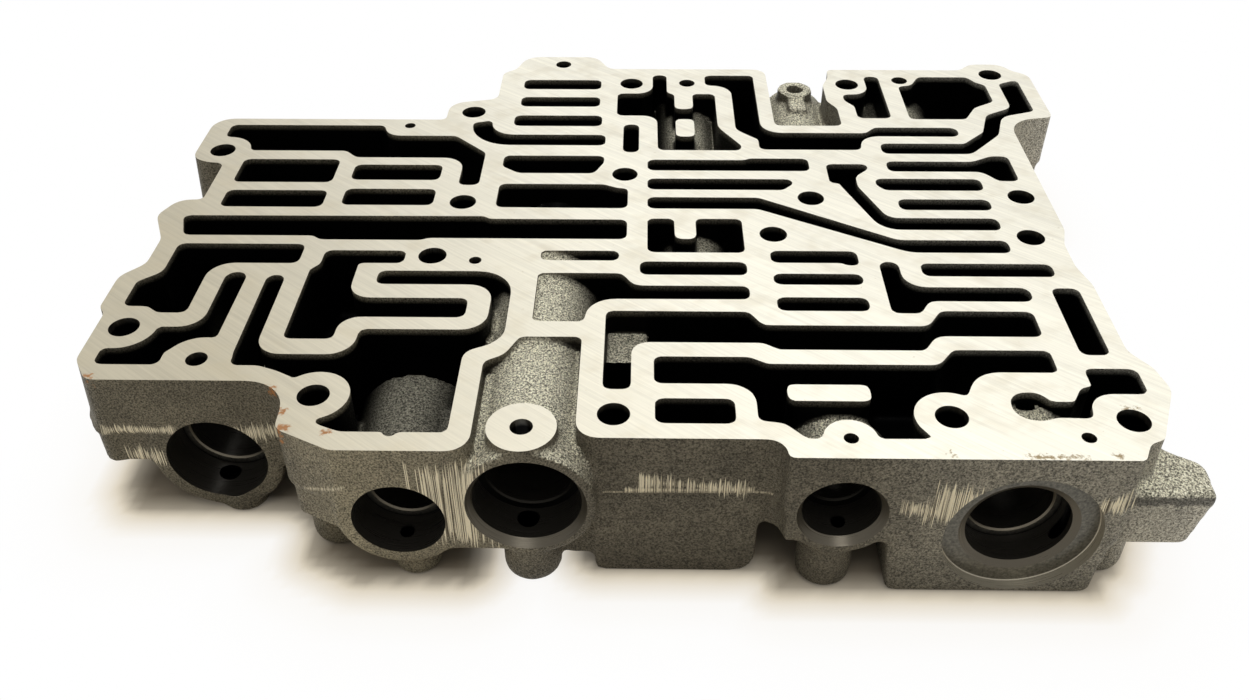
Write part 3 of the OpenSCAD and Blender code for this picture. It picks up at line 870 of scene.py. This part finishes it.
# %% [markdown]
# The raw skin is dark and a little brown: darkest at the left and in the middle, lighter on the second
# bore's block and at the right end. Part of that is the skin's own tone and part is painted light, for
# more light falls on those places. A picture could hold its colours, but a ramp along the casting
# needs only a few of them and blends the rest.

# %% Tones of the cast skin, partly painted light
# Colours at millimetres along X; the lighter ones stand partly for painted light
TONES_AND_PAINTED_LIGHT = {
    -128: (0.125, 0.110, 0.076, 1), -78: (0.115, 0.100, 0.068, 1), -62: (0.235, 0.207, 0.14, 1),
    -36: (0.17, 0.15, 0.105, 1), -12: (0.105, 0.092, 0.066, 1), 48: (0.11, 0.097, 0.070, 1),
    68: (0.18, 0.166, 0.13, 1), 106: (0.22, 0.205, 0.165, 1), 114: (0.36, 0.34, 0.28, 1),
    128: (0.46, 0.44, 0.38, 1)}


def tones_along(tree, value, tones):
    """Colour ramp whose stops lie at millimetres of a value in metres."""
    first, last = min(tones), max(tones)
    node = put(tree, "ShaderNodeValToRGB", {0: spread(tree, value, first * MM, last * MM)})
    stops = node.color_ramp.elements
    while len(stops) < len(tones):
        stops.new(0.5)
    for stop, (at, colour) in zip(stops, tones.items()):
        stop.position = (at - first) / (last - first)
        stop.color = colour
    return node.outputs[0]


print(len(TONES_AND_PAINTED_LIGHT), "tones from", min(TONES_AND_PAINTED_LIGHT), "to", max(TONES_AND_PAINTED_LIGHT), "mm")

# %% [markdown]
# One flat colour would look like paint, so the skin is built up in layers: the tone, partly painted
# light, with broad blotches, a painted shade that darkens it towards the floor, sand, painted shade in
# the dim places, rust, the ground patches with their scratches, and last a black that is partly old oil
# and partly painted shade. What looks up is paler: a painted lit copy of the skin with painted glints.
# What is black is also metallic, because a black metal throws nothing back, so the painted shade shows
# no reflection.

# %% Material: cast skin
# Painted light: the pale colour of what looks up
PAINTED_TOP_LIGHT = (0.63, 0.595, 0.455, 1)
BARE = (0.82, 0.74, 0.55, 1)
GOUGE = (0.08, 0.064, 0.04, 1)
BLACK = (0.002, 0.002, 0.002, 1)
ORANGE = (0.42, 0.18, 0.05, 1)
FINE_GRAIN = 0.42
BROAD_GRAIN = 9.0
SCRATCHES = (4200, 300, 40)
RAGGED_ENDS = (2800, 300, 25)
OIL_AND_SHADE_REACH = 26 * MM
SKIN_BUMP = 0.3 * MM
SKIN_GLOSS = 0.2
# Spreads: where a value starts and ends, then what that gives, which is 0 to 1 where nothing is said
LOOKS_UP = (0.3, 0.95)
BLOTCHES = (0.1, 0.9, 0.82, 1.18)
# Painted shade towards the floor: heights and factors
PAINTED_SHADE_AT_FEET = (0, 14 * MM, 0.65, 1.06)
SAND = (0.2, 0.8, 0.3, 1.7)
# Painted glints on what looks up
PAINTED_GLINTS = (0.3, 0.8, 0.2, 2.0)
# Painted shade: how far the shaded patches darken the skin
PAINTED_SHADE_FACTOR = (0, 1, 1, 0.35)
SCRATCH_EDGE = (0.25, 0.62)
SKIN_ROUGH = (0.2, 0.8, 0.7, 0.35)
SKIN_METAL = (0, 1, 0.3, 0.5)
cast_skin, tree, shader = new_material("cast_skin")
x, y, z = axes(tree, surface(tree, "Object"))
up = spread(tree, axes(tree, surface(tree, "Normal"))[2], *LOOKS_UP)
fine = use(tree, grain, size=FINE_GRAIN)
broad = use(tree, grain, size=BROAD_GRAIN)
small = use(tree, grain, size=SPOT_GRAIN)
# Tone along X, partly the skin's own and partly painted light
colour = scaled(tree, tones_along(tree, x, TONES_AND_PAINTED_LIGHT), spread(tree, broad, *BLOTCHES))
# Painted shade: the skin darkens towards the floor
colour = scaled(tree, colour, spread(tree, z, *PAINTED_SHADE_AT_FEET))
side = scaled(tree, colour, spread(tree, fine, *SAND))
# Painted light: what looks up takes a pale, lit copy of the skin with painted glints
colour = blend(tree, up, side, scaled(tree, PAINTED_TOP_LIGHT, spread(tree, fine, *PAINTED_GLINTS)))
# Painted shade in the dim patches
colour = scaled(tree, colour, spread(tree, patches(tree, PAINTED_SHADE_PATCHES, small), *PAINTED_SHADE_FACTOR))
colour = blend(tree, spots(tree, RUST, small), colour, ORANGE)
scratch = spread(tree, use(tree, lines, turn=0.0, stretch=SCRATCHES), *SCRATCH_EDGE)
ground = patches(tree, GROUND, use(tree, lines, turn=0.0, stretch=RAGGED_ENDS))
colour = blend(tree, ground, colour, blend(tree, scratch, GOUGE, BARE))
# Black that is partly oil and partly painted shade, deeper on what looks up
oil_and_shade_mask = use(tree, oil_and_shade, inside=value_of(tree, "inside"), upward=up, level=deck, reach=OIL_AND_SHADE_REACH)
colour = blend(tree, oil_and_shade_mask, colour, BLACK)
metal = calc(tree, "MAXIMUM", spread(tree, up, *SKIN_METAL), oil_and_shade_mask)
height = calc(tree, "MULTIPLY", fine, calc(tree, "SUBTRACT", 1.0, oil_and_shade_mask))
wire(tree, shader, base_color=colour, roughness=spread(tree, fine, *SKIN_ROUGH),
     metallic=metal, normal=bump(tree, height, SKIN_BUMP))
shader["Specular IOR Level"].default_value = SKIN_GLOSS
print("cast skin:", len(tree.nodes), "nodes")

# %% [markdown]
# The milled face is bare metal with the fine slanting lines of the cutter. It is darker towards the left
# front, and it carries faint brown stains, specks at the right edge and a few rust spots. The lines
# change its colour, its roughness and, by a hair, its height, so it shines in streaks as a milled face
# does.

# %% Material: milled face
SPOTS = [
    ((88.5, -95.1, 42), (6, 0.3, 1)),
    ((101.3, -94.6, 42), (0.8, 0.4, 1)),
    ((108.5, -79.8, 42), (1.5, 0.3, 1)),
    ((67.2, -94.4, 42), (0.4, 0.4, 1))]
BROWN = (0.30, 0.23, 0.13, 1)
# Colour towards the left front, where the face is darker
LEFT_STEEL = (0.50, 0.455, 0.345, 1)
STEEL = (0.83, 0.80, 0.685, 1)
STAIN = (0.50, 0.43, 0.29, 1)
CUTTER_TURN = 38
CUTTER_LINES = (30, 1700, 10)
CUTTER_BUMP = 0.02 * MM
BLOTS = (110, 150, 10)
SPECK_GRAIN = 1.4
TONE_SLANT = 0.5
# Spreads, as for the skin
TONE_SPAN = mm(-125, 5)
BLOT_STAIN = (0.5, 1, 0, 0.24)
SPECK_STAIN = (0.86, 0.96, 0, 0.5)
CUTTER_SHADE = (0, 1, 0.9, 1.05)
CUTTER_ROUGH = (0, 1, 0.34, 0.46)
FACE_METAL = (0, 1, 0.85, 0.05)
milled, tree, shader = new_material("milled_face")
x, y, z = axes(tree, surface(tree, "Object"))
cutter = use(tree, lines, turn=math.radians(CUTTER_TURN), stretch=CUTTER_LINES)
blot = spread(tree, use(tree, lines, turn=0.0, stretch=BLOTS), *BLOT_STAIN)
specks = spread(tree, use(tree, grain, size=SPECK_GRAIN), *SPECK_STAIN)
small = use(tree, grain, size=SPOT_GRAIN)
rust = spots(tree, RUST, small)
# Darker towards the left front
to_the_right = spread(tree, calc(tree, "MULTIPLY_ADD", y, TONE_SLANT, x), *TONE_SPAN)
colour = scaled(tree, blend(tree, to_the_right, LEFT_STEEL, STEEL), spread(tree, cutter, *CUTTER_SHADE))
colour = blend(tree, calc(tree, "MAXIMUM", blot, specks), colour, STAIN)
colour = blend(tree, spots(tree, SPOTS, small), colour, BROWN)
colour = blend(tree, rust, colour, ORANGE)
wire(tree, shader, base_color=colour, roughness=spread(tree, cutter, *CUTTER_ROUGH),
     metallic=spread(tree, rust, *FACE_METAL), normal=bump(tree, cutter, CUTTER_BUMP))
print("milled face:", len(tree.nodes), "nodes")

# %% [markdown]
# Boring bars leave fine rings round the axis. What looks out of a bore, as its lead-in, its seat and
# the shoulder where the plug stops, is grey metal, and what runs along the axis is black, partly with
# oil and partly painted shade, as light hardly reaches it. The seat's wall is painted light. The bores
# all lie along Y, so how much a surface looks along Y tells one from the other.

# %% Material: bored surfaces
# Oil and painted shade on what runs along a bore
OIL_AND_PAINTED_SHADE = (0.04, 0.036, 0.029, 1)
LEAD_IN = (0.085, 0.073, 0.052, 1)
SHOULDER_EDGE = (0.14, 0.12, 0.085, 1)
# Painted light: the pale colour of the seat's wall
SEAT_WALL_PAINTED_LIGHT = (0.45, 0.41, 0.32, 1)
SHOULDER_DARK = (0.035, 0.032, 0.025, 1)
SHOULDER_PALE = (0.16, 0.15, 0.12, 1)
SHOULDER_GRAIN = 0.7
RINGS = (60, 2600, 60)
RING_BUMP = 0.03 * MM
BORE_OIL_AND_SHADE_REACH = 60 * MM
BORE_METAL = 0.6
# Spreads, as for the skin; the first four are of how much a surface looks along Y
RUNS_ALONG = (0.45, 0.3)
SLOPES = (0.98, 0.9)
EDGE_FROM = (0.6, 0.66)
EDGE_TO = (0.82, 0.76)
CRISP_EDGE = (0.985, 1)
RING_ROUGH = (0, 1, 0.25, 0.4)
bored, tree, shader = new_material("bored")
rings = use(tree, lines, turn=0.0, stretch=RINGS)
fine = use(tree, grain, size=SHOULDER_GRAIN)
outwards = calc(tree, "ABSOLUTE", axes(tree, surface(tree, "Normal"))[1])
lit = value_of(tree, "painted_seat_light")
# Painted shade with oil: what runs along the axis turns dark, but not the seat's wall
along = calc(tree, "SUBTRACT", spread(tree, outwards, *RUNS_ALONG), lit)
along = calc(tree, "MAXIMUM", along, 0.0)
# Black that is partly oil and partly painted shade, in the bores
oil_and_shade_mask = use(tree, oil_and_shade, inside=value_of(tree, "inside"), upward=0.0, level=deck, reach=BORE_OIL_AND_SHADE_REACH)
crisp = calc(tree, "SUBTRACT", spread(tree, oil_and_shade_mask, *CRISP_EDGE), oil_and_shade_mask)
oil_and_shade_mask = calc(tree, "MULTIPLY_ADD", crisp, along, oil_and_shade_mask)
on_edge = calc(tree, "MULTIPLY", spread(tree, outwards, *EDGE_FROM), spread(tree, outwards, *EDGE_TO))
slope = blend(tree, on_edge, LEAD_IN, SHOULDER_EDGE)
colour = blend(tree, fine, SHOULDER_DARK, SHOULDER_PALE)
colour = blend(tree, spread(tree, outwards, *SLOPES), colour, slope)
# Painted light on the seat's wall
colour = blend(tree, lit, colour, SEAT_WALL_PAINTED_LIGHT)
# Oil and painted shade on what runs along the axis
colour = blend(tree, along, colour, OIL_AND_PAINTED_SHADE)
colour = blend(tree, oil_and_shade_mask, colour, BLACK)
wire(tree, shader, base_color=colour, roughness=spread(tree, rings, *RING_ROUGH),
     metallic=calc(tree, "MAXIMUM", oil_and_shade_mask, BORE_METAL), normal=bump(tree, rings, RING_BUMP))
print("bored surfaces:", len(tree.nodes), "nodes")

# %% [markdown]
# Each face of a mesh keeps the number of its material, so one casting can wear all three. The casting
# then takes the place of the CAD solid: it rides on the same body, and the CAD solid is hidden.

# %% Dress the casting
mesh.materials.clear()
for material in (cast_skin, milled, bored):
    mesh.materials.append(material)
mesh.polygons.foreach_set("material_index", kind)
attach(casting, "root")
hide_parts(NODE)
print("casting wears", [material.name for material in mesh.materials])

# %% [markdown]
# The part lies in a white room. The camera, and what shines in metal, see the room as plain white, and
# matt surfaces get a dimmer one. More light would also make it white, but it would bleach the iron.

# %% White room
WHITE = (1, 1, 1, 1)
ROOM_LIGHT = 0.36


def shows(tree):
    """1 for rays that show a background: those of the camera, off metal or through glass."""
    path = put(tree, "ShaderNodeLightPath").outputs
    shine = calc(tree, "MAXIMUM", path["Is Glossy Ray"], path["Is Transmission Ray"])
    return calc(tree, "MAXIMUM", path["Is Camera Ray"], shine)


world = bpy.data.worlds.new("room")
bpy.context.scene.world = world
world.use_nodes = True
room = world.node_tree
background = room.nodes["Background"].inputs
background["Color"].default_value = WHITE
room.links.new(spread(room, shows(room), 0, 1, ROOM_LIGHT, 1.0), background["Strength"])
print("room lights matt surfaces with", ROOM_LIGHT)

# %% [markdown]
# The floor is white paper that keeps the part's shadow. Far from the part the paper glows plain white;
# close to it and under it, the glow gives way to a matt surface that takes the shadow, warm as in the
# photograph, where brown iron colours the light. That warmth is painted: the matt paper is tan and the
# glow near the part is cream, and under the part the paper is painted dark brown as a painted shadow.
# One value of each floor point, "white", blends the two.

# %% Paper
# Painted shadow under the part, and tan paper and cream glow near it as painted warm shade
PAINTED_SHADOW = (0.3, 0.25, 0.18, 1)
WARM_PAINTED_BOUNCE = (1, 0.88, 0.66, 1)
CREAM_PAINTED_SHADE = (1, 0.91, 0.76, 1)
PAPER_ROUGH = 0.9
# Spreads of the whiteness
OUT_OF_SHADE = (0, 0.5)
CREAM_TO_WHITE = (0.4, 1)
paper, tree, shader = new_material("paper")
whitened = value_of(tree, "white")
# Painted shadow: dark brown under the part, tan paper near it
wire(tree, shader, base_color=blend(tree, spread(tree, whitened, *OUT_OF_SHADE), PAINTED_SHADOW, WARM_PAINTED_BOUNCE))
shader["Roughness"].default_value = PAPER_ROUGH
# Painted warm shade: the glow is cream near the part
glow = blend(tree, spread(tree, whitened, *CREAM_TO_WHITE), CREAM_PAINTED_SHADE, WHITE)
plain = put(tree, "ShaderNodeEmission", {"Color": glow, "Strength": 1.0}).outputs[0]
matt = tree.nodes["Principled BSDF"].outputs[0]
share = calc(tree, "MULTIPLY", shows(tree), whitened)
both = put(tree, "ShaderNodeMixShader", {0: share, 1: matt, 2: plain}).outputs[0]
tree.links.new(both, tree.nodes["Material Output"].inputs["Surface"])
print("paper:", len(tree.nodes), "nodes")

# %% [markdown]
# The floor's whiteness follows the distance to the casting's rim, so the floor is a grid: fine near the
# part, where the value changes, and coarse out to a few metres, where it doesn't.

# %% Floor
FINE_HALF = 200 * MM
FINE_LINES = 161
FAR_LINES = np.array([0.3, 0.5, 1, 3])
FLOOR_RIM_STEP = 2 * MM
# Whiteness at millimetres from the rim, below 0 under the part; below 1 the painted shadow and cream glow
# show
WHITENESS = {-5: 0, 0: 0.15, 3: 0.56, 9: 0.92, 18: 0.98, 32: 1}
steps = np.concatenate([-FAR_LINES[::-1], np.linspace(-FINE_HALF, FINE_HALF, FINE_LINES), FAR_LINES])
gx, gy = np.meshgrid(steps, steps, indexing="ij")
grid = np.stack([gx, gy, 0 * gx], -1).reshape(-1, 3)
coarse_rim = outer_rim(FLOOR_RIM_STEP)[0]
gap = np.linalg.norm(grid[:, :2] - coarse_rim[nearest(grid[:, :2], coarse_rim)], axis=1)
gap = np.copysign(gap, plan_look(rim_gap, grid)[:, 0])
i, j = np.meshgrid(np.arange(len(steps) - 1), np.arange(len(steps) - 1), indexing="ij")
first = (i * len(steps) + j).ravel()
quads = np.stack([first, first + len(steps), first + len(steps) + 1, first + 1], 1)
floor_mesh = bpy.data.meshes.new("floor")
floor_mesh.from_pydata(grid, [], quads.tolist())
keep_value(floor_mesh, "white", np.interp(gap, mm(*WHITENESS), list(WHITENESS.values())))
floor_mesh.materials.append(paper)
floor = bpy.data.objects.new("floor", floor_mesh)
bpy.context.scene.collection.objects.link(floor)
print("floor of", len(quads), "faces")

# %% [markdown]
# A large soft lamp hangs overhead, a little behind the part, so the machined face shines and the front
# stays dark. A small one in front gives the sand its glints. Both are area lamps, because a wide lamp
# has a soft shadow, and both look at the middle of the part.

# %% Lamps
def softbox(name, place, wide, high, energy):
    """Rectangular area lamp at a place that looks at the origin."""
    lamp = bpy.data.objects.new(name, bpy.data.lights.new(name, "AREA"))
    lamp.data.shape = "RECTANGLE"
    lamp.data.size = wide
    lamp.data.size_y = high
    lamp.data.energy = energy
    look = (-Vector(place)).to_track_quat("-Z", "Y")
    lamp.matrix_world = Matrix.Translation(place) @ look.to_matrix().to_4x4()
    bpy.context.scene.collection.objects.link(lamp)
    print(name, "of", energy, "W")


softbox("overhead", place=(0.1, 0.2, 1.1), wide=1.5, high=1.5, energy=5.8)
softbox("desk_lamp", place=(0.05, -0.62, 1.1), wide=0.5, high=0.3, energy=2.2)
bpy.context.scene.view_settings.view_transform = "Standard"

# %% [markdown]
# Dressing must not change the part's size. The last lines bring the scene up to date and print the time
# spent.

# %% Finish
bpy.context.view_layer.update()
print("finished", spent())
